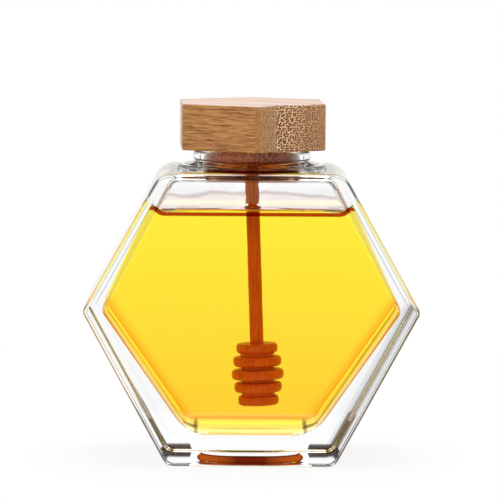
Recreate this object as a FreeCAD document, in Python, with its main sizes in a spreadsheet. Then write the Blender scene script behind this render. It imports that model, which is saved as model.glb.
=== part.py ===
"""Honey jar with dipper: a thick hexagonal glass jar, its honey, a wooden dipper and a bamboo lid.

Millimetres. X runs across the jar, Y from front to back, Z up. The origin is the middle of the
underside. The jar stands on one flat of its hexagon, and two corners point left and right.
"""
import FreeCAD, Part
import Sketcher
import os

doc = FreeCAD.newDocument("HoneyJar")

# ---------------------------------------------------------------- driving sizes
SIZES = [
    # glass, outside
    ("waist_width", 120.8, "across the two side corners, before they are rounded"),
    ("waist_level", 55.5, "height of the side corners"),
    ("base_width", 60.4, "flat that the jar stands on, left to right"),
    ("top_width", 65.5, "upper flat, left to right"),
    ("body_height", 105.0, "underside to upper flat"),
    ("body_depth", 56.0, "front face to back face"),
    ("waist_round", 3.0, "rounding of the side corners"),
    ("base_round", 4.5, "rounding of the lower corners"),
    ("top_round", 8.0, "rounding of the upper corners"),
    ("face_round", 1.5, "rounding round the front and back faces"),
    # glass, inside
    ("face_wall", 6.0, "front and back walls"),
    ("floor_wall", 10.7, "floor"),
    ("ceiling_wall", 1.8, "glass under the upper flat"),
    ("waist_wall", 6.6, "glass at the side corners, measured level"),
    ("base_wall", 7.6, "glass beside the floor's ends, measured level"),
    ("top_wall", 3.9, "how far the ceiling's ends stay inside the upper flat's ends"),
    ("hollow_waist_round", 3.5, "rounding of the hollow's side corners"),
    ("hollow_base_round", 14.0, "rounding of the hollow's lower corners"),
    ("hollow_top_round", 4.5, "rounding of the hollow's upper corners"),
    ("hollow_face_round", 2.0, "rounding round the hollow's front and back"),
    # shoulder, neck and lip
    ("shoulder_inset", 0.9, "front face to the round plate on the upper flat"),
    ("shoulder_rise", 1.6, "height of that plate's rim"),
    ("shoulder_round", 1.2, "rounding of its rim"),
    ("shoulder_land", 2.6, "level ring inside that rim, before the plate rises to the neck"),
    ("mouth_inset", 10.4, "front face to the bore of the mouth"),
    ("neck_wall", 2.8, "glass round the bore at the waist between plate and lip"),
    ("neck_step", 1.2, "plate rim up to that waist"),
    ("lip_wall", 3.6, "glass round the bore at the lip"),
    ("lip_step", 0.6, "waist up to where the lip is widest"),
    ("lip_band", 4.0, "from there up to the top of the lip"),
    ("lip_round", 2.2, "rounding of the lip"),
    ("mouth_flare", 1.2, "how far the bore opens at both ends"),
    # hollow pressed into the underside
    ("recess_end_ring", 10.7, "flat left beside its ends"),
    ("recess_face_ring", 12.0, "front face to its front edge, and the same at the back"),
    ("recess_end_flat", 2.0, "straight left at the middle of its ends, half its length"),
    ("recess_rise", 4.4, "how far it goes up into the floor"),
    ("recess_foot", 0.6, "upright part of its sides, below their slope"),
    # honey
    ("headspace", 12.6, "honey's surface up to the ceiling"),
    # lid
    ("lid_flats", 51.4, "across the flats of the hexagon"),
    ("lid_height", 16.7, "thickness of the block"),
    ("lid_chamfer", 0.4, "break of the block's edges"),
    ("lid_turn", 2.0, "turn of the lid on the jar, degrees"),
    ("plug_clearance", 0.3, "gap between plug and mouth, all round"),
    ("plug_length", 9.0, "plug under the block"),
    ("plug_chamfer", 1.0, "lead-in at the plug's lower edge"),
    # dipper
    ("stick_radius", 2.45, "stick"),
    ("stick_seat", 10.0, "how deep the stick sits in the lid"),
    ("seat_clearance", 0.1, "gap round the stick in its hole"),
    ("dipper_gap", 8.9, "floor up to the end of the head"),
    ("dipper_lean", 2.05, "lean of the dipper to the right, degrees"),
    ("dipper_shift", -0.4, "place of the stick's top, left or right of the middle"),
    ("head_core_radius", 6.0, "bottom of the head's grooves"),
    ("disc_pitch", 4.73, "from one disc of the head to the next"),
    ("groove_width", 1.1, "groove between two discs"),
    ("disc_bevel", 1.1, "bevel of the discs' rims"),
    ("disc_reach_1", 1.45, "how far the topmost disc stands out of the core"),
    ("disc_reach_2", 2.65, "second disc"),
    ("disc_reach_3", 3.4, "middle disc"),
    ("disc_reach_4", 2.6, "fourth disc"),
    ("disc_reach_5", 1.35, "lowest disc"),
]
DISCS = 5

# ---------------------------------------------------------------- sizes that follow from others
CEILING = "(Sizes.body_height - Sizes.ceiling_wall)"
PLATE_TOP = "(Sizes.body_height + Sizes.shoulder_rise)"
NECK_LEVEL = "(%s + Sizes.neck_step)" % PLATE_TOP
LIP_LEVEL = "(%s + Sizes.lip_step)" % NECK_LEVEL
LIP_TOP = "(%s + Sizes.lip_band)" % LIP_LEVEL
HONEY_LEVEL = "(%s - Sizes.headspace)" % CEILING
SHOULDER_RADIUS = "(Sizes.body_depth / 2 - Sizes.shoulder_inset)"
MOUTH_RADIUS = "(Sizes.body_depth / 2 - Sizes.mouth_inset)"
PLUG_RADIUS = "(%s - Sizes.plug_clearance)" % MOUTH_RADIUS
RECESS_HALF_WIDTH = "(Sizes.base_width / 2 - Sizes.recess_end_ring)"
RECESS_HALF_DEPTH = "(Sizes.body_depth / 2 - Sizes.recess_face_ring)"
STICK_TOP = "(%s - Sizes.plug_length + Sizes.stick_seat)" % LIP_TOP
DIPPER_LENGTH = "(%s - Sizes.floor_wall - Sizes.dipper_gap)" % STICK_TOP

sheet = doc.addObject("Spreadsheet::Sheet", "Sizes")
for row, (alias, size, note) in enumerate(SIZES, start=1):
    sheet.set("A%d" % row, alias)
    sheet.set("B%d" % row, str(size))
    sheet.set("C%d" % row, note)
    sheet.setAlias("B%d" % row, alias)
doc.recompute()


# ---------------------------------------------------------------- helpers
def value(expression):
    """The number that an expression on the sheet stands for."""
    return float(sheet.evalExpression(expression))


def origin_plane(body, role):
    """One of the body's own origin planes."""
    return next(plane for plane in body.Origin.OriginFeatures if plane.Role == role)


def new_body(name):
    return doc.addObject("PartDesign::Body", name)


def polygon_sketch(body, role, name, corners):
    """A closed outline of straight lines whose corners are pairs of expressions."""
    sketch = body.newObject("Sketcher::SketchObject", name)
    sketch.AttachmentSupport = [(origin_plane(body, role), "")]
    sketch.MapMode = "FlatFace"
    points = [FreeCAD.Vector(value(across), value(up), 0) for across, up in corners]
    for start, end in zip(points, points[1:] + points[:1]):
        sketch.addGeometry(Part.LineSegment(start, end))
    for line in range(len(points)):
        following = (line + 1) % len(points)
        sketch.addConstraint(Sketcher.Constraint("Coincident", line, 2, following, 1))
    for line, (corner, point) in enumerate(zip(corners, points)):
        for kind, expression, size in zip(("DistanceX", "DistanceY"), corner, (point.x, point.y)):
            index = sketch.addConstraint(Sketcher.Constraint(kind, -1, 1, line, 1, size))
            sketch.setExpression("Constraints[%d]" % index, expression)
    doc.recompute()
    return sketch


def pad(body, name, sketch, length, symmetric=False):
    feature = body.newObject("PartDesign::Pad", name)
    feature.Profile = sketch
    feature.SideType = "Symmetric" if symmetric else "One side"
    feature.setExpression("Length", length)
    doc.recompute()
    return feature


def revolve(body, name, sketch):
    """Turn the outline once round the body's Z axis."""
    feature = body.newObject("PartDesign::Revolution", name)
    feature.Profile = sketch
    feature.ReferenceAxis = (sketch, ["V_Axis"])
    feature.Angle = 360
    doc.recompute()
    return feature


def dress(body, kind, name, base, wanted, size):
    """Fillet or chamfer the edges of the base feature that the test picks out."""
    picked = ["Edge%d" % number for number, edge in enumerate(base.Shape.Edges, start=1) if wanted(edge)]
    feature = body.newObject("PartDesign::" + kind, name)
    feature.Base = (base, picked)
    feature.setExpression("Radius" if kind == "Fillet" else "Size", size)
    doc.recompute()
    return feature


def runs_along_y(edge):
    box = edge.BoundBox
    return box.YLength > 1 and box.XLength < 0.01 and box.ZLength < 0.01


def hexagon_corners(base, waist, top):
    """Outline of an upright hexagon from three (half width, height) pairs of expressions."""
    right = [base, waist, top]
    left = [("-(%s)" % half, height) for half, height in reversed(right)]
    return right + left


def hexagon_block(name, corners, depth, rounds):
    """A hexagon drawn out from front to back, with rounded corners and rounded front and back rims.

    rounds holds the expressions for the lower, side and upper corners and for the rims.
    """
    base_round, waist_round, top_round, face_round = rounds
    body = new_body(name)
    sketch = polygon_sketch(body, "XZ_Plane", name + "Outline", corners)
    block = pad(body, name + "Pad", sketch, depth, symmetric=True)
    widest = max(edge.CenterOfMass.x for edge in block.Shape.Edges)
    middle = next(edge.CenterOfMass.z for edge in block.Shape.Edges if edge.CenterOfMass.x == widest)

    def corner_at(place):
        return lambda edge: runs_along_y(edge) and place(edge.CenterOfMass)

    is_waist = corner_at(lambda centre: abs(abs(centre.x) - widest) < 0.01)
    is_base = corner_at(lambda centre: abs(centre.x) < widest - 0.01 and centre.z < middle)
    is_top = corner_at(lambda centre: abs(centre.x) < widest - 0.01 and centre.z > middle)
    block = dress(body, "Fillet", name + "WaistRound", block, is_waist, waist_round)
    block = dress(body, "Fillet", name + "BaseRound", block, is_base, base_round)
    block = dress(body, "Fillet", name + "TopRound", block, is_top, top_round)
    dress(body, "Fillet", name + "FaceRound", block, lambda edge: edge.BoundBox.YLength < 0.01, face_round)
    return body


def boolean(kind, name, shapes):
    """Part boolean of two or more objects; the first is what the others are added to or cut from."""
    feature = doc.addObject(kind, name)
    if kind == "Part::MultiFuse":
        feature.Shapes = shapes
    else:
        feature.Base, feature.Tool = shapes
    doc.recompute()
    return feature


# ---------------------------------------------------------------- glass
def glass_block():
    corners = hexagon_corners(
        ("Sizes.base_width / 2", "0"),
        ("Sizes.waist_width / 2", "Sizes.waist_level"),
        ("Sizes.top_width / 2", "Sizes.body_height"),
    )
    rounds = ("Sizes.base_round", "Sizes.waist_round", "Sizes.top_round", "Sizes.face_round")
    return hexagon_block("GlassBlock", corners, "Sizes.body_depth", rounds)


def hollow_block():
    """The space inside the jar: a smaller hexagon, inset by the walls, floor and ceiling."""
    corners = hexagon_corners(
        ("Sizes.base_width / 2 - Sizes.base_wall", "Sizes.floor_wall"),
        ("Sizes.waist_width / 2 - Sizes.waist_wall", "Sizes.waist_level"),
        ("Sizes.top_width / 2 - Sizes.top_wall", CEILING),
    )
    rounds = (
        "Sizes.hollow_base_round",
        "Sizes.hollow_waist_round",
        "Sizes.hollow_top_round",
        "Sizes.hollow_face_round",
    )
    return hexagon_block("Hollow", corners, "Sizes.body_depth - 2 * Sizes.face_wall", rounds)


def neck():
    """Round plate, waist and lip, turned as one piece and let a little into the upper flat."""
    body = new_body("Neck")
    let_in = "Sizes.body_height - Sizes.ceiling_wall / 2"
    lip_radius = MOUTH_RADIUS + " + Sizes.lip_wall"
    corners = [
        ("0", let_in),
        (SHOULDER_RADIUS, let_in),
        (SHOULDER_RADIUS, PLATE_TOP),
        (SHOULDER_RADIUS + " - Sizes.shoulder_land", PLATE_TOP),
        (MOUTH_RADIUS + " + Sizes.neck_wall", NECK_LEVEL),
        (lip_radius, LIP_LEVEL),
        (lip_radius, LIP_TOP),
        ("0", LIP_TOP),
    ]
    turned = revolve(body, "NeckTurned", polygon_sketch(body, "XZ_Plane", "NeckOutline", corners))

    def circle_at(radius, height):
        return lambda edge: (
            abs(edge.BoundBox.XMax - value(radius)) < 0.01
            and abs(edge.CenterOfMass.z - value(height)) < 0.01
            and edge.BoundBox.ZLength < 0.01
        )

    rim = circle_at(*corners[2])
    turned = dress(body, "Fillet", "ShoulderRound", turned, rim, "Sizes.shoulder_round")
    rim = circle_at(*corners[6])
    turned = dress(body, "Fillet", "LipRound", turned, rim, "Sizes.lip_round")
    return body


def mouth():
    """The bore from the hollow up through the lip, opening out at both ends."""
    body = new_body("Mouth")
    flared = MOUTH_RADIUS + " + Sizes.mouth_flare"
    corners = [
        ("0", CEILING + " - Sizes.ceiling_wall"),
        (flared, CEILING + " - Sizes.ceiling_wall"),
        (flared, CEILING),
        (MOUTH_RADIUS, CEILING + " + Sizes.mouth_flare"),
        (MOUTH_RADIUS, LIP_TOP + " - Sizes.mouth_flare"),
        (flared, LIP_TOP),
        (flared, LIP_TOP + " + Sizes.mouth_flare"),
        ("0", LIP_TOP + " + Sizes.mouth_flare"),
    ]
    revolve(body, "MouthTurned", polygon_sketch(body, "XZ_Plane", "MouthOutline", corners))
    return body


def recess():
    """The round-ended hollow pressed into the underside."""
    body = new_body("Recess")
    corners = [
        ("-" + RECESS_HALF_WIDTH, "-" + RECESS_HALF_DEPTH),
        (RECESS_HALF_WIDTH, "-" + RECESS_HALF_DEPTH),
        (RECESS_HALF_WIDTH, RECESS_HALF_DEPTH),
        ("-" + RECESS_HALF_WIDTH, RECESS_HALF_DEPTH),
    ]
    sketch = polygon_sketch(body, "XY_Plane", "RecessOutline", corners)
    block = pad(body, "RecessPad", sketch, "Sizes.recess_rise")
    upright = lambda edge: edge.BoundBox.ZLength > 0.01
    end_round = RECESS_HALF_DEPTH + " - Sizes.recess_end_flat"
    block = dress(body, "Fillet", "RecessEnds", block, upright, end_round)
    is_upper = lambda edge: edge.BoundBox.ZMin > value("Sizes.recess_rise") - 0.01
    dress(body, "Chamfer", "RecessSlope", block, is_upper, "Sizes.recess_rise - Sizes.recess_foot")
    return body


def jar(hollow):
    outside = boolean("Part::MultiFuse", "GlassOutside", [glass_block(), neck()])
    inside = boolean("Part::MultiFuse", "GlassInside", [hollow, mouth()])
    cut = boolean("Part::Cut", "GlassHollowed", [outside, inside])
    return boolean("Part::Cut", "Jar", [cut, recess()])


# ---------------------------------------------------------------- lid and dipper
def lid_block():
    """Hexagonal block with the round plug under it; its own zero is the block's underside."""
    body = new_body("LidBlock")
    corners = [
        ("0", "-Sizes.lid_flats / 2 / cos(30)"),
        ("Sizes.lid_flats / 2", "-Sizes.lid_flats / 2 * tan(30)"),
        ("Sizes.lid_flats / 2", "Sizes.lid_flats / 2 * tan(30)"),
        ("0", "Sizes.lid_flats / 2 / cos(30)"),
        ("-Sizes.lid_flats / 2", "Sizes.lid_flats / 2 * tan(30)"),
        ("-Sizes.lid_flats / 2", "-Sizes.lid_flats / 2 * tan(30)"),
    ]
    sketch = polygon_sketch(body, "XY_Plane", "LidOutline", corners)
    block = pad(body, "LidPad", sketch, "Sizes.lid_height")
    block = dress(body, "Chamfer", "LidEdges", block, lambda edge: True, "Sizes.lid_chamfer")
    plug_corners = [
        ("0", "Sizes.lid_chamfer"),
        (PLUG_RADIUS, "Sizes.lid_chamfer"),
        (PLUG_RADIUS, "Sizes.plug_chamfer - Sizes.plug_length"),
        (PLUG_RADIUS + " - Sizes.plug_chamfer", "-Sizes.plug_length"),
        ("0", "-Sizes.plug_length"),
    ]
    revolve(body, "PlugTurned", polygon_sketch(body, "XZ_Plane", "PlugOutline", plug_corners))
    body.Placement = FreeCAD.Placement(FreeCAD.Vector(0, 0, 1), FreeCAD.Rotation(FreeCAD.Vector(0, 0, 1), 1))
    body.setExpression("Placement.Base.z", LIP_TOP)
    body.setExpression("Placement.Rotation.Angle", "Sizes.lid_turn")
    return body


def lean_with_dipper(thing):
    """Put a thing whose zero is the top of the stick where the dipper hangs, with its lean."""
    thing.Placement = FreeCAD.Placement(FreeCAD.Vector(0, 0, 1), FreeCAD.Rotation(FreeCAD.Vector(0, -1, 0), 1))
    thing.setExpression("Placement.Base.x", "Sizes.dipper_shift")
    thing.setExpression("Placement.Base.z", STICK_TOP)
    thing.setExpression("Placement.Rotation.Angle", "Sizes.dipper_lean")


def stick_hole():
    body = new_body("StickHole")
    corners = [
        ("0", "0"),
        ("Sizes.stick_radius + Sizes.seat_clearance", "0"),
        ("Sizes.stick_radius + Sizes.seat_clearance", "-2 * Sizes.stick_seat"),
        ("0", "-2 * Sizes.stick_seat"),
    ]
    revolve(body, "StickHoleTurned", polygon_sketch(body, "XZ_Plane", "StickHoleOutline", corners))
    lean_with_dipper(body)
    return body


def dipper():
    """Stick and grooved head, turned as one piece; the discs are counted from the top."""
    body = new_body("Dipper")
    head_top = "%d * Sizes.disc_pitch - Sizes.groove_width - %s" % (DISCS, DIPPER_LENGTH)
    corners = [("0", "0"), ("Sizes.stick_radius", "0"), ("Sizes.stick_radius", head_top)]
    for disc in range(1, DISCS + 1):
        upper = "%s - %d * Sizes.disc_pitch" % (head_top, disc - 1)
        lower = "%s - %d * Sizes.disc_pitch + Sizes.groove_width" % (head_top, disc)
        radius = "Sizes.head_core_radius + Sizes.disc_reach_%d" % disc
        corners += [(radius, upper), (radius, lower)]
        if disc < DISCS:
            next_disc = "%s - %d * Sizes.disc_pitch" % (head_top, disc)
            corners += [("Sizes.head_core_radius", lower), ("Sizes.head_core_radius", next_disc)]
    corners.append(("0", "-" + DIPPER_LENGTH))
    turned = revolve(body, "DipperTurned", polygon_sketch(body, "XZ_Plane", "DipperOutline", corners))
    core = value("Sizes.head_core_radius")
    is_rim = lambda edge: edge.BoundBox.ZLength < 0.01 and edge.BoundBox.XMax > core + 0.01
    dress(body, "Chamfer", "DiscRims", turned, is_rim, "Sizes.disc_bevel")
    lean_with_dipper(body)
    return body


def honey(hollow, dipper_body):
    """Fills the hollow up to its level, all round the dipper."""
    level = doc.addObject("Part::Box", "BelowLevel")
    level.setExpression("Length", "Sizes.waist_width")
    level.setExpression("Width", "Sizes.body_depth")
    level.setExpression("Height", HONEY_LEVEL)
    level.setExpression("Placement.Base.x", "-Sizes.waist_width / 2")
    level.setExpression("Placement.Base.y", "-Sizes.body_depth / 2")
    filled = boolean("Part::Common", "HollowBelowLevel", [hollow, level])
    return boolean("Part::Cut", "Honey", [filled, dipper_body])


# ---------------------------------------------------------------- assembly and export
hollow_body = hollow_block()
dipper_body = dipper()
nodes = {
    "jar": jar(hollow_body),
    "honey": honey(hollow_body, dipper_body),
    "dipper": dipper_body,
    "lid": boolean("Part::Cut", "Lid", [lid_block(), stick_hole()]),
}
doc.recompute()

for thing in doc.Objects:
    if "Invalid" in thing.State or "Error" in thing.State:
        raise RuntimeError("%s did not build: %s" % (thing.Name, thing.State))

os.makedirs("parts", exist_ok=True)
for name, node in nodes.items():
    node.Label = name
    if node.Shape.isNull() or not node.Shape.isValid() or len(node.Shape.Solids) != 1:
        raise RuntimeError("%s is not one sound solid" % name)
    node.Shape.exportStep("parts/%s.step" % name)
    box = node.Shape.optimalBoundingBox(False)
    print("%-7s %9.0f mm3   X %.1f..%.1f   Y %.1f..%.1f   Z %.1f..%.1f" % (
        name, node.Shape.Volume, box.XMin, box.XMax, box.YMin, box.YMax, box.ZMin, box.ZMax))
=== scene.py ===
# %% [markdown]
# # Honey jar with dipper
# A thick hexagonal glass jar stands on one flat of its hexagon. It holds honey up to its shoulders,
# and a bamboo lid closes it. A turned wooden dipper hangs from the lid into the honey.
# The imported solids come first, as a fixed frame in metres. The glass and the lid keep their solids,
# and finer pieces take the place of the honey and the dipper, exactly where those solids are.

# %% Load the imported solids
import math

import bmesh
import bpy
from mathutils import Matrix, Vector, noise


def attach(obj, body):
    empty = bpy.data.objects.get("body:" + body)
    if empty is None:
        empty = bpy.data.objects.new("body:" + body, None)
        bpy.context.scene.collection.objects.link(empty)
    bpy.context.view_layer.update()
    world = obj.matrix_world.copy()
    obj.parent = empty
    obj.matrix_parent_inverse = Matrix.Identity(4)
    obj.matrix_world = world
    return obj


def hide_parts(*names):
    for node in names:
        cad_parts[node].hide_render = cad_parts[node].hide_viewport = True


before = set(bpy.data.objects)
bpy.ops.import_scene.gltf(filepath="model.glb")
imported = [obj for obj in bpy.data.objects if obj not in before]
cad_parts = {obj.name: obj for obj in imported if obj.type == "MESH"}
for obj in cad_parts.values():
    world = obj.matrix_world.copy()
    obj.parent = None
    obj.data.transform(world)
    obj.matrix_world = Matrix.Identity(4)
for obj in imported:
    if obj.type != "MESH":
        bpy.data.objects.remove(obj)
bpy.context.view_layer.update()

# %% [markdown]
# Every size of the object is written in millimetres, as a maker would say it, and `MM` turns it into
# Blender's metres. The studio round it is measured in metres. Each finished piece goes through one
# helper. It closes the seams, turns the faces outwards, shades it smooth with crisp edges and hangs
# it on the object, so that no piece is left half done. A weighted normal keeps the large flat faces
# flat beside their rounded rims.

# %% Millimetres, and how a piece is finished
MM = 0.001
SEAM = 0.002


def finish_piece(mesh, name, material, node, smooth):
    """Turn a bmesh into a piece of the object. Edges sharper than the angle stay crisp."""
    bmesh.ops.remove_doubles(mesh, verts=mesh.verts, dist=SEAM * MM)
    bmesh.ops.recalc_face_normals(mesh, faces=mesh.faces)
    open_edges = sum(1 for edge in mesh.edges if len(edge.link_faces) != 2)
    for face in mesh.faces:
        face.smooth = True
    for edge in mesh.edges:
        if len(edge.link_faces) == 2 and edge.calc_face_angle(0.0) > math.radians(smooth):
            edge.smooth = False
    data = bpy.data.meshes.new(name)
    mesh.to_mesh(data)
    mesh.free()
    data.materials.append(material)
    piece = bpy.data.objects.new(name, data)
    bpy.context.scene.collection.objects.link(piece)
    flat = piece.modifiers.new("flat faces stay flat", "WEIGHTED_NORMAL")
    flat.weight = 100
    flat.keep_sharp = True
    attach(piece, "root")
    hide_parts(node)
    print("%s: %d faces, %d open edges" % (name, len(data.polygons), open_edges))


# %% [markdown]
# A material is a chain of nodes. One helper adds any node, sets it up and plugs in what feeds it.
# Another turns the hex colours that people read off a swatch into the linear numbers that the shader
# works with. Tints of clear matter are written as those numbers themselves, because they say how
# much light gets through. A last helper makes a row of colours to look a value up in.

# %% Helpers for materials
def srgb(code):
    """A hex colour such as "C08040" as linear red, green, blue and alpha."""
    parts = [int(code[start:start + 2], 16) / 255 for start in (0, 2, 4)]
    linear = [part / 12.92 if part <= 0.04045 else ((part + 0.055) / 1.055) ** 2.4 for part in parts]
    return (*linear, 1.0)


def tone(red, green, blue):
    """A colour by the shares of red, green and blue light that it lets through or gives back."""
    return (red, green, blue, 1.0)


def grey(share):
    """The same share of all three."""
    return tone(share, share, share)


def add(tree, kind, inputs=None, **settings):
    """Add a node. An input is a plain value, or the socket that feeds it."""
    node = tree.nodes.new("ShaderNode" + kind)
    for name, setting in settings.items():
        setattr(node, name, setting)
    for name, given in (inputs or {}).items():
        if isinstance(given, bpy.types.NodeSocket):
            tree.links.new(given, node.inputs[name])
        else:
            node.inputs[name].default_value = given
    return node


def start_material(name):
    """An empty material with its output node."""
    material = bpy.data.materials.new(name)
    material.use_nodes = True
    material.node_tree.nodes.clear()
    output = material.node_tree.nodes.new("ShaderNodeOutputMaterial")
    return material, material.node_tree, output


def colour_row(tree, value, stops):
    """Look a value from 0 to 1 up in a row of (position, colour) stops."""
    row = add(tree, "ValToRGB", {0: value})
    while len(row.color_ramp.elements) < len(stops):
        row.color_ramp.elements.new(0.5)
    for element, (position, colour) in zip(row.color_ramp.elements, stops):
        element.position = position
        element.color = colour
    return row.outputs[0]


CLEAR = grey(1.0)
BLACK = grey(0.0)


# %% [markdown]
# Many looks here depend on a place: the film above the honey, the stained plug, the edges of the
# glass. Such a place is written as a share, a value that is 1 inside and 0 outside, and shares are
# multiplied to make narrower places. A layer then multiplies its colour over the one below, as
# strongly as its share says. So each tint follows measured distances on the object.

# %% Helpers for places
def calculate(tree, operation, *values):
    """One step of arithmetic on values or sockets."""
    return add(tree, "Math", dict(enumerate(values)), operation=operation).outputs[0]


def rise(tree, value, start, end):
    """0 up to the start and 1 from the end on, both in millimetres. A start above the end falls."""
    return add(tree, "MapRange", {"Value": value, "From Min": start * MM, "From Max": end * MM}).outputs[0]


def distance(tree, first, second):
    """The distance that two distances at right angles make together."""
    both = add(tree, "CombineXYZ", {"X": first, "Y": second}).outputs[0]
    return add(tree, "VectorMath", {0: both}, operation="LENGTH").outputs["Value"]


def product(tree, *shares):
    """A place that lies inside all of these places."""
    both = shares[0]
    for share in shares[1:]:
        both = calculate(tree, "MULTIPLY", both, share)
    return both


def layer(tree, share, below, colour):
    """Multiply a colour over the one below it, as strongly as the share says."""
    mixed = add(tree, "Mix", {0: share, 6: below, 7: colour}, data_type="RGBA", blend_type="MULTIPLY")
    return mixed.outputs[2]


def object_axes(tree):
    """The place on the object, and its X, Y and Z."""
    place = add(tree, "TexCoord").outputs["Object"]
    axes = add(tree, "SeparateXYZ", {"Vector": place}).outputs
    return place, axes["X"], axes["Y"], axes["Z"]


# %% [markdown]
# The camera stands 1.2 m in front of the jar, a little above it and a little to the left, behind a
# long lens, so that the hexagon keeps its shape and the lid shows a sliver of its top.

# %% Camera
EYE = Vector((-12, -1200, 198)) * MM
AIM = Vector((-0.45, 0, 75.1)) * MM
ROLL = math.radians(0.40)

camera = bpy.data.objects.new("camera", bpy.data.cameras.new("camera"))
bpy.context.scene.collection.objects.link(camera)
camera.data.lens = 239.1
camera.data.sensor_width = 36.0
camera.data.clip_start = 0.05
camera.location = EYE
towards = (AIM - EYE).to_track_quat("-Z", "Y").to_matrix()
camera.rotation_euler = (towards @ Matrix.Rotation(ROLL, 3, "Z")).to_euler()
bpy.context.scene.camera = camera
bpy.context.scene.view_settings.view_transform = "Standard"
print("camera to jar: %.2f m" % (AIM - EYE).length)

# %% [markdown]
# Clear glass only shows what stands around it. A white surrounding makes the body of the glass
# vanish and leaves its edges. So the world is white where the camera, a reflection or a refraction
# looks at it, and a soft grey for the light that falls on the wood.

# %% World
def seen_share(tree):
    """The rays that look: straight, reflected or refracted ones. Also gives their light path."""
    path = add(tree, "LightPath").outputs
    straight = calculate(tree, "MAXIMUM", path["Is Camera Ray"], path["Is Glossy Ray"])
    return calculate(tree, "MAXIMUM", straight, path["Is Transmission Ray"]), path


world = bpy.data.worlds.new("studio")
bpy.context.scene.world = world
world.use_nodes = True
tree = world.node_tree
tree.nodes.clear()
seen, _ = seen_share(tree)
soft = add(tree, "Background", {"Color": srgb("F4F6FA"), "Strength": 0.72})
white = add(tree, "Background", {"Color": CLEAR, "Strength": 1.0})
mixed = add(tree, "MixShader", {0: seen, 1: soft.outputs[0], 2: white.outputs[0]})
add(tree, "OutputWorld", {"Surface": mixed.outputs[0]})

# %% [markdown]
# The floor is white paper. It catches the soft shadow near the jar. Further out it glows, as white
# as the world behind it, so that no horizon shows. What the glass bends down to the floor is white.
# The paper lies a fifth of a millimetre under the jar, so that the two surfaces stay apart.

# %% Floor
def stage_plane(name, size_x, size_y, matrix, material):
    """A flat sheet of the studio, which isn't part of the object."""
    mesh = bmesh.new()
    bmesh.ops.create_grid(mesh, x_segments=1, y_segments=1, size=0.5)
    bmesh.ops.transform(mesh, matrix=matrix @ Matrix.Diagonal((size_x, size_y, 1, 1)), verts=mesh.verts)
    data = bpy.data.meshes.new(name)
    mesh.to_mesh(data)
    mesh.free()
    data.materials.append(material)
    plane = bpy.data.objects.new(name, data)
    bpy.context.scene.collection.objects.link(plane)
    return plane


paper, tree, output = start_material("white_paper")
seen, path = seen_share(tree)
place = add(tree, "TexCoord").outputs["Object"]
away = add(tree, "VectorMath", {0: place}, operation="LENGTH").outputs["Value"]
fading = add(tree, "MapRange", {"Value": away, "From Min": 0.05, "From Max": 0.30, "To Min": 0.86})
glowing = calculate(tree, "MULTIPLY", seen, fading.outputs[0])
glowing = calculate(tree, "MAXIMUM", glowing, path["Is Transmission Ray"])
matt = add(tree, "BsdfDiffuse", {"Color": srgb("F6F6F6")})
glow = add(tree, "Emission", {"Color": CLEAR, "Strength": 1.0})
mixed = add(tree, "MixShader", {0: glowing, 1: matt.outputs[0], 2: glow.outputs[0]})
tree.links.new(mixed.outputs[0], output.inputs["Surface"])
stage_plane("floor", 6.0, 6.0, Matrix.Translation((0, 0, -0.2 * MM)), paper)

# %% [markdown]
# Two narrow dark posts hang behind the jar, outside the view. Only light that the rounded edges
# bend reaches them, so that they draw thin grey lines in the glass. A dark cloth lies on the floor
# in front. It keeps the white floor from being mirrored in the front of the glass, like a veil.

# %% Dark posts and cloth
felt, tree, output = start_material("black_felt")
matt = add(tree, "BsdfDiffuse", {"Color": srgb("161616")})
tree.links.new(matt.outputs[0], output.inputs["Surface"])
POST_ASIDE, POST_BEHIND, POST_MIDDLE = 0.34, 0.40, 0.22
POST_HEIGHT, POST_WIDTH = 0.30, 0.05
POST_TURN = 37
upright = Matrix.Rotation(math.radians(90), 4, "Y")
sheets = []
for side, name in ((-1, "post_left"), (1, "post_right")):
    turn = Matrix.Rotation(math.radians(side * POST_TURN), 4, "Z") @ upright
    stand = Matrix.Translation((side * POST_ASIDE, POST_BEHIND, POST_MIDDLE)) @ turn
    sheets.append(stage_plane(name, POST_HEIGHT, POST_WIDTH, stand, felt))
    sheets[-1].visible_glossy = False
sheets.append(stage_plane("cloth", 2.4, 2.6, Matrix.Translation((0, -1.45, 1 * MM)), felt))
sheets[-1].visible_transmission = False
for sheet in sheets:
    sheet.visible_camera = False
    sheet.visible_diffuse = False
    sheet.visible_shadow = False
print("dark sheets:", [sheet.name for sheet in sheets])

# %% [markdown]
# Two softboxes light the wood. One hangs above and a little behind, and a weaker one stands in front
# on the left. Both are large against the jar, so that the shadows are soft.

# %% Lamps
def softbox(name, place, size, watts):
    """A square area lamp at a place, turned to the middle of the jar."""
    lamp = bpy.data.lights.new(name, "AREA")
    lamp.shape = "SQUARE"
    lamp.size = size
    lamp.energy = watts
    holder = bpy.data.objects.new(name, lamp)
    holder.location = place
    holder.rotation_euler = (Vector((0, 0, 0.1)) - Vector(place)).to_track_quat("-Z", "Y").to_euler()
    bpy.context.scene.collection.objects.link(holder)


softbox("top_softbox", place=(0.05, 0.1, 1.0), size=0.8, watts=6.0)
softbox("left_softbox", place=(-0.9, -0.9, 0.6), size=0.6, watts=2.5)

# %% [markdown]
# The section of the jar is a hexagon outside and a smaller one inside, and both are the same on the
# left and on the right. So a few corners describe them: half a width and a height each. The
# distance of a point from a slanted wall follows from them, and serves the glass and the honey.
# The two hexagons are 56 and 44 mm deep. The honey's level is measured from the underside, as all
# heights are, and it climbs a little where it meets the glass.

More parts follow.
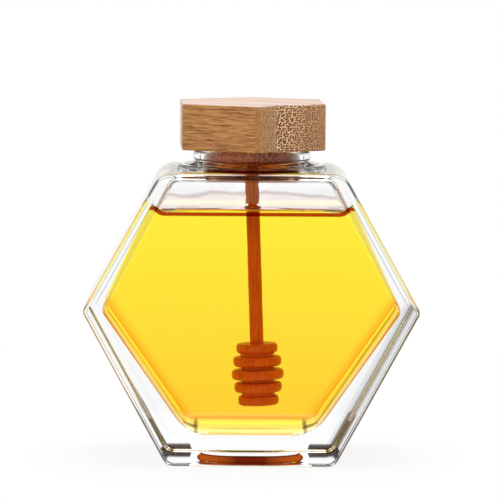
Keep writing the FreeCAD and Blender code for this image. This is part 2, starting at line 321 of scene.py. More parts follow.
# %% Sizes of the jar, and the distance from its walls
RECESS_ROOF = 4.4
FLOOR, CORNER_LEVEL, CEILING = 10.7, 55.5, 103.2
BODY_TOP = 105.0
LIP_TOP = 112.4
LID_TOP = 129.1
LEVEL, CLIMB = 90.6, 1.0
HALF_DEPTH = 28.0
HALF_SPACE = 22.0
FLOOR_END = (22.6, FLOOR)
SIDE_CORNER = (53.8, CORNER_LEVEL)
CEILING_END = (28.85, CEILING)
OUTER_CORNER = (60.4, CORNER_LEVEL)
HOLLOW_WALLS = ((FLOOR_END, SIDE_CORNER), (CEILING_END, SIDE_CORNER))
OUTER_WALLS = (((30.2, 0.0), OUTER_CORNER), ((32.75, BODY_TOP), OUTER_CORNER))


def wall_distances(tree, side, height, walls):
    """How far inside each slanted wall a point is. Outside the wall, the distance is negative."""
    distances = []
    for start, end in walls:
        slope = (end[0] - start[0]) / (end[1] - start[1])
        wall = calculate(tree, "MULTIPLY_ADD", height, slope, (start[0] - slope * start[1]) * MM)
        inside = calculate(tree, "SUBTRACT", wall, side)
        distances.append(calculate(tree, "MULTIPLY", inside, 1 / math.hypot(1, slope)))
    return distances


# %% [markdown]
# The jar is pressed soda-lime glass, thick and clear, with the slight waviness of a pressed surface.
# Honey bends light as much as glass does. So where honey wets the wall, light goes almost straight
# on, and the wall is as good as gone. The index of refraction is therefore close to 1 on the wetted
# part of the hollow. On the sides of the recess under the jar it is next to 1 as well, so that they
# don't show as mirrors, and a box a little larger than the recess marks them off. Everywhere else it
# is that of glass.

# %% Glass: its index of refraction
GLASS_INDEX, WETTED_INDEX, RECESS_INDEX = 1.52, 1.08, 1.001
RECESS_ASIDE, RECESS_BACK = 24.5, 17.2
clear_glass, tree, output = start_material("pressed_soda_lime_glass")
place, x, y, z = object_axes(tree)
side = calculate(tree, "ABSOLUTE", x)
depth = calculate(tree, "ABSOLUTE", y)
inside = calculate(tree, "MINIMUM", *wall_distances(tree, side, z, HOLLOW_WALLS))
wetted = product(tree, rise(tree, inside, -1.0, -0.99),
                 rise(tree, depth, HALF_SPACE + 1, HALF_SPACE + 0.99),
                 rise(tree, z, LEVEL + CLIMB, LEVEL + CLIMB - 0.01),
                 rise(tree, z, FLOOR - 1, FLOOR - 0.99))
index = add(tree, "MapRange", {"Value": wetted, "To Min": GLASS_INDEX, "To Max": WETTED_INDEX}).outputs[0]
recess = product(tree, rise(tree, z, RECESS_ROOF - 0.02, RECESS_ROOF - 0.04), rise(tree, z, 0.02, 0.04),
                 rise(tree, depth, RECESS_BACK + 0.1, RECESS_BACK - 0.1),
                 rise(tree, side, RECESS_ASIDE + 0.5, RECESS_ASIDE - 0.5))
index = add(tree, "MapRange", {"Value": recess, "To Min": index, "To Max": RECESS_INDEX}).outputs[0]

# %% [markdown]
# Some places of the glass have a colour. Where the jar was tilted, a film of honey is left on the
# back wall, with a wavy edge, and a thin one along the slanted walls. The mouth round the plug is
# painted dark brown, as painted shade on the plug seen through it. Light from the honey collects in
# the recess under the jar, and makes its front an amber bar with rounded ends. In front of the bar,
# the plug and the dry part of the stick, the glass doesn't mirror the white room, so that they keep
# their depth of colour.

# %% Glass: its colour from place to place
FILM_LEVEL, FILM_WAVE = 93.0, 7.0
wavy = add(tree, "TexNoise", {"Vector": place, "Scale": 1 / (16 * MM), "Detail": 2.0, "Roughness": 0.5})
above_film = calculate(tree, "MULTIPLY_ADD", wavy.outputs[0], FILM_WAVE * MM, -FILM_LEVEL * MM)
above_film = calculate(tree, "ADD", z, above_film)
back_wall = product(tree, rise(tree, y, HALF_SPACE - 1.2, HALF_SPACE - 0.8),
                    rise(tree, y, HALF_SPACE + 1, HALF_SPACE + 0.9), rise(tree, inside, 0.2, 2.0))
film = product(tree, back_wall, rise(tree, above_film, 4.4, 3.6))
film_edge = product(tree, back_wall, rise(tree, above_film, 5.0, 4.2), rise(tree, above_film, 3.0, 3.9))
colour = layer(tree, film, CLEAR, srgb("FBE4DE"))
colour = layer(tree, film_edge, colour, srgb("BDB0B0"))

BAR_LEVEL, BAR_STRAIGHT, BAR_TAPER = 1.25, 17.4, 0.68
past_bar = calculate(tree, "MAXIMUM", calculate(tree, "ADD", side, -BAR_STRAIGHT * MM), 0.0)
past_bar = calculate(tree, "MULTIPLY", past_bar, BAR_TAPER)
to_middle = distance(tree, past_bar, calculate(tree, "ADD", z, -BAR_LEVEL * MM))
bar = product(tree, recess, rise(tree, y, 0.5, -0.5), rise(tree, to_middle, 1.35, 1.22))
amber = colour_row(tree, rise(tree, side, 5, 15), (
    (0.0, tone(0.024, 0.0002, 0.00001)), (1.0, tone(0.20, 0.008, 0.0001))))
amber = layer(tree, rise(tree, to_middle, 0.6, 1.0), amber, tone(0.16, 0.05, 0.05))
colour = layer(tree, bar, colour, amber)

facing_bar = product(tree, rise(tree, y, 1.0 - HALF_DEPTH, 0.7 - HALF_DEPTH), rise(tree, z, 8, 7),
                     rise(tree, side, 36, 34))
facing_plug = product(tree, rise(tree, y, -2, -4), rise(tree, z, CEILING, CEILING + 1),
                      rise(tree, side, 18, 16))
facing_stick = product(tree, rise(tree, y, 2 - HALF_SPACE, 1 - HALF_SPACE),
                       rise(tree, z, LEVEL - 0.1, LEVEL + 0.9), rise(tree, side, 7, 5))
facing = calculate(tree, "MAXIMUM", calculate(tree, "MAXIMUM", facing_bar, facing_plug), facing_stick)
shine = layer(tree, facing, CLEAR, BLACK)

# Painted shade: the mouth round the plug is tinted dark brown, so that the plug inside looks shaded.
PLUG_SHADE_TOP = 108.4
mouth = product(tree, rise(tree, z, CEILING - 0.6, CEILING - 0.2),
                rise(tree, z, PLUG_SHADE_TOP + 0.2, PLUG_SHADE_TOP - 0.2),
                rise(tree, distance(tree, x, y), 29.0, 27.5), rise(tree, side, 18, 16))
colour = layer(tree, mouth, colour, tone(0.34, 0.12, 0.06))
thin_film = product(tree, rise(tree, inside, 1.3, 0.9), rise(tree, z, LEVEL, LEVEL + 0.5),
                    rise(tree, z, CEILING - 0.8, CEILING - 1.8),
                    rise(tree, y, 3.5 - HALF_SPACE, 2.0 - HALF_SPACE),
                    rise(tree, depth, HALF_SPACE + 1, HALF_SPACE + 0.9))
colour = layer(tree, thin_film, colour, tone(0.36, 0.12, 0.04))

# %% [markdown]
# The rounded rims of so thick a jar bend light away from the eye, and show as thin dark lines, which
# are painted into the glass's colour here. They are narrower at the lower left and missing along the
# middle of the base. At its back they are broader, and painted brown at the corners. Beside the
# honey, the upper rims catch its yellow between fine lines, painted too. Beside the lower right rim,
# fine pleats of the pressed glass bend the light into painted dark and grey lines along the wall,
# which end in a painted brown stretch. Both rows of lines below are read inwards from the outer wall.

# %% Glass: its rims
LINES_WIDTH = 3.6
EDGE_LINES = (
    (0.00, tone(0.55, 0.30, 0.08)), (0.10, tone(0.80, 0.60, 0.20)), (0.18, tone(1.0, 0.93, 0.40)),
    (0.34, tone(1.0, 0.95, 0.55)), (0.40, tone(0.20, 0.19, 0.19)), (0.46, CLEAR), (0.76, CLEAR),
    (0.82, tone(0.10, 0.10, 0.11)), (0.88, CLEAR))
PLEATS_START, PLEATS_END = 1.0, 2.8
PAINTED_PLEAT_LINES = (
    (0.00, tone(0.01, 0.01, 0.012)), (0.10, tone(0.01, 0.01, 0.012)), (0.15, tone(0.80, 0.81, 0.82)),
    (0.28, tone(0.70, 0.71, 0.72)), (0.33, tone(0.04, 0.04, 0.05)), (0.38, tone(0.70, 0.71, 0.72)),
    (0.56, tone(0.80, 0.81, 0.82)), (0.61, tone(0.10, 0.10, 0.11)), (0.66, tone(0.80, 0.81, 0.82)),
    (0.86, tone(0.90, 0.91, 0.92)), (0.92, tone(0.02, 0.02, 0.03)), (1.00, CLEAR))

from_face = calculate(tree, "SUBTRACT", HALF_DEPTH * MM, depth)
slanted = calculate(tree, "MINIMUM", *wall_distances(tree, side, z, OUTER_WALLS))
on_left = product(tree, rise(tree, x, -20, -21), rise(tree, z, 18, 30), rise(tree, z, 58, 54))
outline = calculate(tree, "MULTIPLY", slanted, calculate(tree, "ADD", on_left, 1.0))
from_base = calculate(tree, "MULTIPLY_ADD", rise(tree, side, 22, 20), 5.0 * MM, z)
broader = calculate(tree, "MULTIPLY_ADD", rise(tree, y, 0, 1), -0.62, 1.0)
from_base = calculate(tree, "MULTIPLY", from_base, broader)
outline = calculate(tree, "MINIMUM", outline, from_base)
beside_honey = product(tree, rise(tree, z, 57, 60), rise(tree, z, 97, 94))
elsewhere = calculate(tree, "SUBTRACT", 1.0, beside_honey)
rim = product(tree, rise(tree, from_face, 1.1, 0.8), rise(tree, outline, 1.1, 0.8),
              rise(tree, z, BODY_TOP - 1.5, BODY_TOP - 2.5), elsewhere)
colour = layer(tree, rim, colour, tone(0.03, 0.032, 0.045))
beside_honey = product(tree, beside_honey, rise(tree, y, 2.4 - HALF_DEPTH, 2.0 - HALF_DEPTH))
lines = colour_row(tree, rise(tree, slanted, 0, LINES_WIDTH), EDGE_LINES)
colour = layer(tree, beside_honey, colour, lines)
corner = product(tree, rim, rise(tree, y, 0, 1), rise(tree, z, 6, 5), rise(tree, side, 21, 22))
colour = layer(tree, corner, colour, tone(0.07, 0.03, 0.02))

# Painted refraction: dark and grey lines along the lower right wall, ending in a painted brown stretch.
low_right = product(tree, rise(tree, x, 20, 21), rise(tree, y, HALF_DEPTH - 1.0, HALF_DEPTH - 0.7),
                    rise(tree, z, 57, 54))
pleated = product(tree, low_right, rise(tree, slanted, PLEATS_START, PLEATS_START + 0.1))
painted_pleat_lines = colour_row(tree, rise(tree, slanted, PLEATS_START, PLEATS_END), PAINTED_PLEAT_LINES)
colour = layer(tree, pleated, colour, painted_pleat_lines)
brown = product(tree, low_right, rise(tree, z, 15.5, 14), rise(tree, slanted, 1.9, 1.6))
colour = layer(tree, brown, colour, tone(0.16, 0.09, 0.07))

# %% [markdown]
# The index and the colour meet in one shader, with a slight greenish absorption inside the glass.
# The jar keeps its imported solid, which already has every rounded rim, and takes this material.

# %% Glass: the material on the jar
waves = add(tree, "TexNoise", {"Vector": place, "Scale": 1 / (22 * MM), "Detail": 1.0, "Roughness": 0.4})
relief = add(tree, "Bump", {"Height": waves.outputs[0], "Strength": 0.02, "Distance": 1.0 * MM})
glass = add(tree, "BsdfPrincipled", {
    "Base Color": colour, "Roughness": 0.0, "IOR": index, "Transmission Weight": 1.0,
    "Specular Tint": shine, "Normal": relief.outputs[0]})
tint = add(tree, "VolumeAbsorption", {"Color": srgb("E2F2EC"), "Density": 1.2})
tree.links.new(glass.outputs[0], output.inputs["Surface"])
tree.links.new(tint.outputs[0], output.inputs["Volume"])
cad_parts["jar"].data.materials.clear()
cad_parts["jar"].data.materials.append(clear_glass)
print("jar: %d faces" % len(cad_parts["jar"].data.polygons))

# %% [markdown]
# Runny honey is a clear golden liquid. It takes the blue out of white light within a few
# millimetres, and the green only over centimetres. So it looks yellow straight through and orange
# along its edges, where the light runs a longer way. A painted shade makes it a little warmer towards
# the floor. The layers below deepen the edges, each by its distance from the walls. Just over the
# floor, the front stays pale, and two short brown seams mark the ends of the floor.

# %% Honey: its colour from place to place
golden_honey, tree, output = start_material("clear_golden_honey")
_, x, y, z = object_axes(tree)
side = calculate(tree, "ABSOLUTE", x)
open_air = add(tree, "Attribute", attribute_name="open_surface").outputs["Fac"]
lower, upper = wall_distances(tree, side, z, HOLLOW_WALLS)
from_sides = calculate(tree, "MINIMUM", lower, upper)
from_floor = calculate(tree, "ADD", z, -FLOOR * MM)
from_edge = calculate(tree, "MINIMUM", from_sides, from_floor)
front = rise(tree, y, 1.6 - HALF_SPACE, 0.8 - HALF_SPACE)
between = product(tree, rise(tree, y, HALF_SPACE - 1, HALF_SPACE - 2),
                  rise(tree, y, 1 - HALF_SPACE, 2 - HALF_SPACE))

above_floor = rise(tree, from_floor, 0.7, 1.7)
off_walls = rise(tree, lower, 0.0, 0.5)
# Painted shade: at the back, the honey is tinted warmer towards the floor.
warmer_low_shade = colour_row(tree, rise(tree, z, 12, 88), ((0.0, tone(1.0, 0.54, 0.54)), (1.0, CLEAR)))
at_back = rise(tree, y, HALF_SPACE - 4, HALF_SPACE - 3)
colour = layer(tree, product(tree, at_back, above_floor, off_walls), CLEAR, warmer_low_shade)
back_edge = calculate(tree, "MAXIMUM", rise(tree, lower, 5.0, 0.6), rise(tree, from_floor, 3.8, 1.7))
back_edge = product(tree, at_back, back_edge, back_edge, above_floor, off_walls)
colour = layer(tree, back_edge, colour, tone(0.96, 0.24, 0.02))
pale_floor = product(tree, front, rise(tree, from_floor, 4.0, 0.5))
below_corners = rise(tree, z, 60, 55)
side_walls = product(tree, between, rise(tree, from_sides, 1.2, 0.6), below_corners)
colour = layer(tree, side_walls, colour, tone(1.0, 0.70, 0.35))
front_edge = product(tree, front, rise(tree, from_edge, 1.2, 0.4))
softened = layer(tree, below_corners, tone(0.90, 0.66, 0.40), tone(0.84, 0.50, 0.40))
colour = layer(tree, front_edge, colour, softened)
seams = product(tree, rise(tree, side, 18.8, 19.4), rise(tree, side, 20.8, 20.2),
                rise(tree, from_floor, 1.8, 1.2))
colour = layer(tree, seams, colour, tone(0.30, 0.12, 0.04))

# %% [markdown]
# Where honey climbs the glass, it forms a thin deep red line along the front, which rises at both
# ends. Heights are evened out there, so that the line stays with the surface. Round the stick, honey
# forms an orange collar.

# %% Honey: the line of its surface
climbing = product(tree, open_air, rise(tree, z, LEVEL + 0.05, LEVEL + 0.3), rise(tree, y, -16.5, -18.5))
colour = layer(tree, climbing, colour, tone(0.70, 0.25, 0.16))
near_end = rise(tree, upper, 4.5, 0.0)
evened = calculate(tree, "MULTIPLY_ADD", product(tree, near_end, near_end), -2.0 * MM, z)
line = product(tree, rise(tree, y, 1.2 - HALF_SPACE, 0.9 - HALF_SPACE),
               rise(tree, evened, LEVEL - 1.2, LEVEL - 0.9), rise(tree, evened, LEVEL + 0.5, LEVEL + 0.2))
colour = layer(tree, line, colour, tone(0.20, 0.003, 0.0003))
STICK_AT_LEVEL = 0.42
from_stick = distance(tree, calculate(tree, "ADD", x, -STICK_AT_LEVEL * MM), y)
collar = product(tree, open_air, rise(tree, from_stick, 6.5, 4.0))
colour = layer(tree, collar, colour, tone(1.0, 0.42, 0.12))

# %% [markdown]
# Against the glass, honey doesn't bend light any further. Only its open surface does, and that is
# almost a mirror when it is looked at along the surface. A little light scatters in the honey. It is
# added as a weak glow: golden at the back wall, and paler at the front in the zone over the floor.

# %% Honey: the material
HONEY_INDEX = 1.49
index = add(tree, "MapRange", {"Value": open_air, "To Min": 1.0, "To Max": HONEY_INDEX}).outputs[0]
grazing = add(tree, "LayerWeight", {"Blend": 0.5}).outputs["Facing"]
grazing = add(tree, "MapRange", {"Value": grazing, "From Min": 0.80, "From Max": 0.90, "To Max": 0.85})
BACK_GLOW, FLOOR_GLOW = 0.075, 0.34
scatter = calculate(tree, "MULTIPLY", at_back, BACK_GLOW)
scatter = calculate(tree, "MULTIPLY_ADD", pale_floor, FLOOR_GLOW, scatter)
scattered = layer(tree, front, tone(1.0, 0.86, 0.15), tone(0.75, 0.85, 1.0))
gel = add(tree, "BsdfPrincipled", {
    "Base Color": colour, "Roughness": 0.0, "IOR": index, "Transmission Weight": 1.0,
    "Metallic": product(tree, open_air, grazing.outputs[0]),
    "Emission Color": scattered, "Emission Strength": scatter})
tint = add(tree, "VolumeAbsorption", {"Color": tone(0.998, 0.982, 0.14), "Density": 75.0})
tree.links.new(gel.outputs[0], output.inputs["Surface"])
tree.links.new(tint.outputs[0], output.inputs["Volume"])

# %% [markdown]
# The honey fills the hollow of the jar. Its outline starts as a six-cornered face, is drawn out from
# the front wall to the back wall, and its corners are rounded as those of the hollow are. An
# extrusion is the natural way here, because the hollow has one section from front to back.

# %% Outline of the honey
def along_y(edge):
    """Whether an edge runs from front to back."""
    line = edge.verts[1].co - edge.verts[0].co
    return abs(line.y) > 0.9 * line.length


def round_corner(mesh, place, radius, angle, segments):
    """Round the edges at a place and at its mirror image, where walls meet at this angle."""
    edges = [edge for edge in mesh.edges if along_y(edge)
             and abs(abs(edge.verts[0].co.x) - place[0] * MM) < 1e-5
             and abs(edge.verts[0].co.z - place[1] * MM) < 1e-5]
    bmesh.ops.bevel(mesh, geom=edges, offset=radius * MM / math.tan(math.radians(angle) / 2),
                    offset_type="OFFSET", segments=segments, profile=0.5, affect="EDGES", material=-1)


brim = LEVEL + CLIMB
share = (brim - CORNER_LEVEL) / (CEILING - CORNER_LEVEL)
brim_end = SIDE_CORNER[0] + share * (CEILING_END[0] - SIDE_CORNER[0])
right = [FLOOR_END, SIDE_CORNER, (brim_end, brim)]
corners = right + [(-half, height) for half, height in reversed(right)]

fill = bmesh.new()
ring = [fill.verts.new(Vector((half, -HALF_SPACE, height)) * MM) for half, height in corners]
section = fill.faces.new(ring)
pulled = bmesh.ops.extrude_face_region(fill, geom=[section])
moved = [item for item in pulled["geom"] if isinstance(item, bmesh.types.BMVert)]
bmesh.ops.translate(fill, vec=(0, 2 * HALF_SPACE * MM, 0), verts=moved)
bmesh.ops.recalc_face_normals(fill, faces=fill.faces)
round_corner(fill, FLOOR_END, radius=14.0, angle=124.9, segments=14)
round_corner(fill, SIDE_CORNER, radius=3.5, angle=117.3, segments=8)
print("half the width of the honey at its brim: %.1f mm" % brim_end)

# %% [markdown]
# The front and back faces meet the walls in a small round, like the corners of the hollow. Only the
# top face keeps its sharp border, because its surface is shaped next. A bevel leaves its new corners
# in any order. So the shape is built anew in the order of its places, and every run goes on from the
# same one.

# %% Round its rims
def on_rim(edge):
    """Edges of the front and back faces, apart from those along the brim."""
    level = all(abs(vert.co.z - brim * MM) < 1e-6 for vert in edge.verts)
    flat = abs(edge.verts[0].co.y - edge.verts[1].co.y) < 1e-6
    return flat and not level


def in_order(mesh):
    """The same shape built anew, with its corners and faces sorted by place. Frees the old one."""
    fresh = bmesh.new()
    for number, vert in enumerate(sorted(mesh.verts, key=lambda vert: vert.co[:])):
        vert.index = number
        fresh.verts.new(vert.co)
    fresh.verts.ensure_lookup_table()
    loops = [[vert.index for vert in face.verts] for face in mesh.faces]
    for loop in sorted(loops, key=sorted):
        fresh.faces.new([fresh.verts[number] for number in loop])
    mesh.free()
    return fresh


RIM_ROUND = 2.0
rims = [edge for edge in fill.edges if on_rim(edge)]
bmesh.ops.bevel(fill, geom=rims, offset=RIM_ROUND * MM, offset_type="OFFSET", segments=8, profile=0.5,
                affect="EDGES", material=-1)
bmesh.ops.remove_doubles(fill, verts=fill.verts, dist=0.1 * MM)
print("rounded edges:", len(rims))
fill = in_order(fill)

# %% [markdown]
# Honey wets what it touches. Its surface climbs a millimetre up the glass in a hollow curve. Insets
# of the top face, each a little wider and lower by less than the last, make that curve. Each pair
# says how far an inset goes in, and how far it drops.

# %% Surface of the honey
open_surface = fill.faces.layers.float.new("open_surface")
fill.normal_update()
level_faces = [face for face in fill.faces if abs(face.calc_center_median().z - brim * MM) < 1e-5]
surface = max(level_faces, key=lambda face: face.calc_area())
walls = set(fill.faces) - {surface}
MENISCUS = (
    (0.08, 0.24), (0.14, 0.24), (0.22, 0.19), (0.35, 0.15), (0.55, 0.10), (0.9, 0.06), (1.3, 0.02))
for inward, drop in MENISCUS:
    bmesh.ops.inset_region(fill, faces=[surface], thickness=inward * MM, depth=0.0, use_even_offset=False)
    bmesh.ops.translate(fill, vec=(0, 0, -drop * MM), verts=surface.verts)
print("level of the honey: %.2f mm" % (surface.calc_center_median().z / MM))

# %% [markdown]
# The stick leans, and honey climbs it too. A ring bridged to the last inset, and drawn up in steps
# that come closer to the stick, makes the collar. The last ring lies inside the stick and is closed.
# Each pair says how far a ring stays off the stick, and how far it lies above the level.

# %% Collar round the stick
STICK_TOP = Vector((-0.4, 0, 113.4))
LEAN = math.radians(2.05)
STICK_RADIUS = 2.45
COLLAR_START = 2.8
COLLAR = ((1.9, 0.10), (1.2, 0.32), (0.7, 0.68), (0.35, 1.15), (0.12, 1.75), (-0.3, 1.9))


def stick_axis(height):
    """Where the middle of the leaning stick is at a height."""
    return Vector((STICK_TOP.x + (STICK_TOP.z - height) * math.tan(LEAN), 0, height))


border = list(surface.edges)
bmesh.ops.delete(fill, geom=[surface], context="FACES_ONLY")
ring = bmesh.ops.create_circle(fill, segments=40, radius=(STICK_RADIUS + COLLAR_START) * MM,
                               matrix=Matrix.Translation(stick_axis(LEVEL) * MM))["verts"]
ring_edges = list(dict.fromkeys(edge for vert in ring for edge in vert.link_edges))
bmesh.ops.bridge_loops(fill, edges=border + ring_edges)
for gap, lift in COLLAR:
    pulled = bmesh.ops.extrude_edge_only(fill, edges=ring_edges)
    ring = [item for item in pulled["geom"] if isinstance(item, bmesh.types.BMVert)]
    ring_edges = [item for item in pulled["geom"] if isinstance(item, bmesh.types.BMEdge)]
    for vert in ring:
        spoke = Vector((vert.co.x / MM - stick_axis(LEVEL).x, vert.co.y / MM, 0)).normalized()
        vert.co = (stick_axis(LEVEL + lift) + spoke * (STICK_RADIUS + gap)) * MM
fill.faces.new(ring)

# %% [markdown]
# At both ends of the front, honey climbs higher, because two walls hold it there. The rise begins
# 13 mm before the middle of the jar and is full 7 mm further on. The finished shape then grows by a
# tenth of a millimetre where it touches glass. It reaches just into the wall and leaves no film of
# air, which would show as a mirror.

# %% Let it climb at the ends, and reach into the glass
END_WIDTH, END_LIFT = 4.5, 2.4
REACH = 0.1
slope = (CEILING_END[0] - SIDE_CORNER[0]) / (CEILING - CORNER_LEVEL)
for vert in fill.verts:
    from_end = brim_end - abs(vert.co.x) / MM
    if vert.co.z > (LEVEL - 0.01) * MM and from_end < END_WIDTH:
        forward = min(max((-vert.co.y / MM - 13) / 7, 0), 1)
        lift = END_LIFT * forward * (1 - max(from_end, 0) / END_WIDTH) ** 2
        vert.co += Vector((math.copysign(slope * lift, vert.co.x), 0, lift)) * MM

bmesh.ops.recalc_face_normals(fill, faces=fill.faces)
fill.normal_update()
for vert in fill.verts:
    if any(face in walls for face in vert.link_faces):
        vert.co += Vector((vert.normal.x, vert.normal.y, min(vert.normal.z, 0))) * REACH * MM
for face in fill.faces:
    face[open_surface] = 0.0 if face in walls else 1.0
print("honey: %.0f cm3" % (fill.calc_volume() * 1e6))
finish_piece(fill, "honey_fill", golden_honey, node="honey", smooth=40)

# %% [markdown]
# The dipper is turned from hardwood. Its fibres run along the stick, so the fibre pattern is drawn
# out along it. Above the honey the wood is dry and brown, and below it the honey has soaked in and
# made it a deep red-orange.

# %% Wood of the dipper
turned_wood, tree, output = start_material("turned_beech_soaked_in_honey")
place, _, _, z = object_axes(tree)
stretched = add(tree, "Mapping", {"Vector": place, "Rotation": (0, LEAN, 0), "Scale": (1.0, 1.0, 0.06)})
fibres = add(tree, "TexNoise", {
    "Vector": stretched.outputs[0], "Scale": 1 / (0.55 * MM), "Detail": 4.0, "Roughness": 0.6}).outputs[0]
dry = colour_row(tree, fibres, ((0.30, srgb("B65018")), (0.62, srgb("EC8632"))))
wet = colour_row(tree, fibres, ((0.30, srgb("CC3408")), (0.65, srgb("F45814"))))
soaked = rise(tree, z, LEVEL + 3, LEVEL - 1)
mixed = add(tree, "Mix", {0: soaked, 6: dry, 7: wet}, data_type="RGBA", blend_type="MIX")
relief = add(tree, "Bump", {"Height": fibres, "Strength": 0.5, "Distance": 0.15 * MM})
wood = add(tree, "BsdfPrincipled", {
    "Base Color": mixed.outputs[2], "Roughness": 0.35, "IOR": 1.5, "Normal": relief.outputs[0]})
tree.links.new(wood.outputs[0], output.inputs["Surface"])

# %% [markdown]
# On a lathe, the dipper is one section turned round its axis: a thin handle, and a head with five
# discs whose grooves hold the honey. Half of that section is written down as a chain of points, from
# the top of the handle down to the middle of the last disc.

# %% Section of the dipper
DISC_PITCH, GROOVE, CORE = 4.73, 1.1, 6.0
DISC_RADII = (7.45, 8.65, 9.4, 8.6, 7.35)
LENGTH = 93.8
STEP = 0.8
head_top = -LENGTH + len(DISC_RADII) * DISC_PITCH - GROOVE
section = [(0.0, 0.0)]
section += [(STICK_RADIUS, -step * STEP) for step in range(int(-head_top / STEP))]
section.append((STICK_RADIUS, head_top))
for number, radius in enumerate(DISC_RADII):
    upper_side = head_top - number * DISC_PITCH
    lower_side = upper_side - DISC_PITCH + GROOVE
    section += [(radius, upper_side), (radius, lower_side)]
    if number < len(DISC_RADII) - 1:
        section += [(CORE, lower_side), (CORE, lower_side - GROOVE)]
section.append((0.0, -LENGTH))
print("points of the section:", len(section), "head from %.1f mm" % head_top)

# %% [markdown]
# The chain is spun once round, and the rims of the discs are rounded afterwards, because the edges
# to round are easiest to find on the turned shape. A little noise makes the surface uneven, as a
# used tool is, and more so above the honey, where drops have dried on the handle.

# %% Turn the dipper
DISC_ROUND = 1.3
DRY_LENGTH = 26
UNEVEN_DRY, UNEVEN_WET, UNEVEN_ALL = 0.30, 0.09, 0.08
turned = bmesh.new()
chain = [turned.verts.new(Vector((radius, 0, height)) * MM) for radius, height in section]
lines = [turned.edges.new(pair) for pair in zip(chain, chain[1:])]
bmesh.ops.spin(turned, geom=chain + lines, cent=(0, 0, 0), axis=(0, 0, 1), angle=math.tau, steps=64,
               use_merge=True)
bmesh.ops.remove_doubles(turned, verts=turned.verts, dist=0.001 * MM)
bmesh.ops.recalc_face_normals(turned, faces=turned.faces)
rims = [edge for edge in turned.edges if abs(edge.verts[0].co.z - edge.verts[1].co.z) < 1e-7
        and min(vert.co.xy.length for vert in edge.verts) > (CORE + 0.5) * MM
        and abs(edge.verts[0].co.xy.length - edge.verts[1].co.xy.length) < 1e-7]
bmesh.ops.bevel(turned, geom=rims, offset=DISC_ROUND * MM, offset_type="OFFSET", segments=5, profile=0.5,
                affect="EDGES", material=-1)
for vert in turned.verts:
    uneven = UNEVEN_DRY if vert.co.z > -DRY_LENGTH * MM else UNEVEN_WET
    wave = noise.noise(vert.co / (2.2 * MM)) * uneven + noise.noise(vert.co / (14 * MM)) * UNEVEN_ALL
    vert.co += Vector((vert.co.x, vert.co.y, 0)).normalized() * wave * MM
lean = Matrix.Translation(STICK_TOP * MM) @ Matrix.Rotation(-LEAN, 4, "Y")
bmesh.ops.transform(turned, verts=turned.verts, matrix=lean)
finish_piece(turned, "turned_dipper", turned_wood, node="dipper", smooth=50)

# %% [markdown]
# The lid is cut from laminated bamboo. Its fibres run level, and a little across the jar. A face
# along the fibres shows long streaks, and a face across them shows the cut ends of the fibre bundles
# as dark dots. They are packed closely near the skin of the stalk and thinly towards its heart, so
# each glued strip has its own size of dots and its own tone. A row of stops gives both across the
# lid: where a stop lies, how large the dots are there, and the tone.

# %% Bamboo: its strips
bamboo, tree, output = start_material("laminated_bamboo_board")
place, _, _, z = object_axes(tree)
FIBRE_TURN = math.radians(28)
HALF_BOARD = 26
along = add(tree, "Mapping", {"Vector": place, "Rotation": (0, 0, FIBRE_TURN)}).outputs[0]
STRIPS = (
    (0.000, 0.02, "C68C4C"), (0.028, 0.02, "C68C4C"), (0.034, 0.06, "C8986A"), (0.140, 0.06, "C8986A"),
    (0.150, 0.44, "FFDCAE"), (0.262, 0.42, "FFD8AA"), (0.275, 0.38, "F4C492"), (0.355, 0.36, "F0C08E"),
    (0.360, 0.24, "B48458"), (0.366, 0.36, "E2B280"), (0.450, 0.30, "DAA87A"), (0.465, 0.14, "CC9A70"),
    (0.560, 0.04, "C49464"), (0.565, 0.38, "E4B282"), (0.700, 0.30, "D4A274"), (0.705, 0.04, "C49464"),
    (0.800, 0.04, "C49464"), (0.810, 0.42, "E8BA8A"), (1.000, 0.30, "D4A274"))
board_axes = add(tree, "SeparateXYZ", {"Vector": along}).outputs
across = rise(tree, board_axes["Y"], -HALF_BOARD, HALF_BOARD)
dot_size = colour_row(tree, across, [(position, grey(size)) for position, size, _ in STRIPS])
colour = colour_row(tree, across, [(position, srgb(code)) for position, _, code in STRIPS])
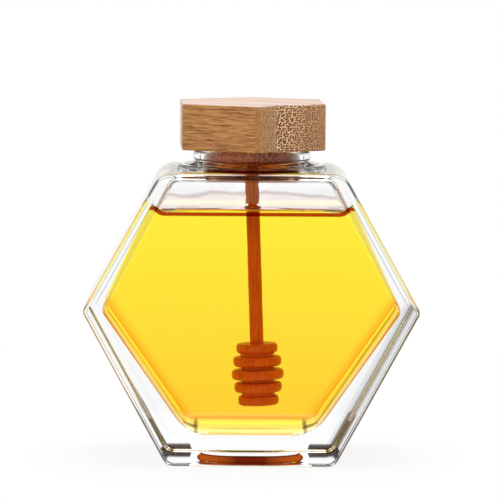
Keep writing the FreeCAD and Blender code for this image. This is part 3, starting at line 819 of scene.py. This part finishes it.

# %% [markdown]
# The dots are cells in the board's section across its fibres, so each runs through the board as a
# rod. They only show where a face cuts the fibres, which the direction of the face tells. Fine
# streaks lie over everything. The top is painted paler, as a painted sheen, and the plug below the
# lid is painted a darker red-brown, as painted shade.

# %% Bamboo: fibres, painted shade and sheen, and finish
DOT_PITCH = 0.88
flat = add(tree, "CombineXYZ", {"X": board_axes["Y"], "Y": board_axes["Z"]}).outputs[0]
bundles = add(tree, "TexVoronoi", {
    "Vector": flat, "Scale": 1 / (DOT_PITCH * MM), "Randomness": 0.65},
    feature="F1", voronoi_dimensions="2D")
dots = calculate(tree, "SUBTRACT", dot_size, bundles.outputs["Distance"])
dots = add(tree, "MapRange", {"Value": dots, "From Min": -0.06, "From Max": 0.10}).outputs[0]
fibre_line = (math.cos(FIBRE_TURN), -math.sin(FIBRE_TURN), 0)
normal = add(tree, "NewGeometry").outputs["Normal"]
cut = add(tree, "VectorMath", {0: normal, 1: fibre_line}, operation="DOT_PRODUCT").outputs["Value"]
cut = calculate(tree, "ABSOLUTE", cut)
cut = add(tree, "MapRange", {
    "Value": cut, "From Min": 0.35, "From Max": 0.65, "To Min": 0.12}).outputs[0]

drawn = add(tree, "Mapping", {"Vector": along, "Scale": (0.055, 1.0, 1.0)}).outputs[0]
streaks = add(tree, "TexNoise", {
    "Vector": drawn, "Scale": 1 / (0.38 * MM), "Detail": 4.0, "Roughness": 0.7}).outputs[0]
streak_tone = colour_row(tree, streaks, ((0.36, srgb("A06E42")), (0.57, srgb("FFFFF2"))))
# Painted shade: the plug below the lid is darkened to a red-brown, where it lies in shade inside the
# mouth.
colour = layer(tree, rise(tree, z, LIP_TOP + 0.2, LIP_TOP - 0.2), colour, tone(0.72, 0.28, 0.13))
colour = layer(tree, 1.0, colour, streak_tone)
bands = add(tree, "TexNoise", {"Vector": drawn, "Scale": 1 / (5.0 * MM), "Detail": 2.0}).outputs[0]
# Painted sheen: the top face is paler and pinker than the sides, with bands along the grain.
top_bands_and_sheen = colour_row(tree, bands, (
    (0.36, srgb("B08468")), (0.50, srgb("CDA58C")), (0.62, srgb("DEC0AC"))))
on_top = rise(tree, z, LID_TOP - 0.5, LID_TOP - 0.2)
top_sheen = add(tree, "Mix", {0: on_top, 6: colour, 7: top_bands_and_sheen}, data_type="RGBA")
dotted = add(tree, "Mix", {
    0: product(tree, dots, cut), 6: top_sheen.outputs[2], 7: srgb("6E3210")}, data_type="RGBA")
relief = add(tree, "Bump", {"Height": streaks, "Strength": 0.25, "Distance": 0.1 * MM})
board = add(tree, "BsdfPrincipled", {
    "Base Color": dotted.outputs[2], "Roughness": 0.32, "IOR": 1.5, "Normal": relief.outputs[0]})
tree.links.new(board.outputs[0], output.inputs["Surface"])
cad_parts["lid"].data.materials.clear()
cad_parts["lid"].data.materials.append(bamboo)
print("lid: %d faces" % len(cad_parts["lid"].data.polygons))
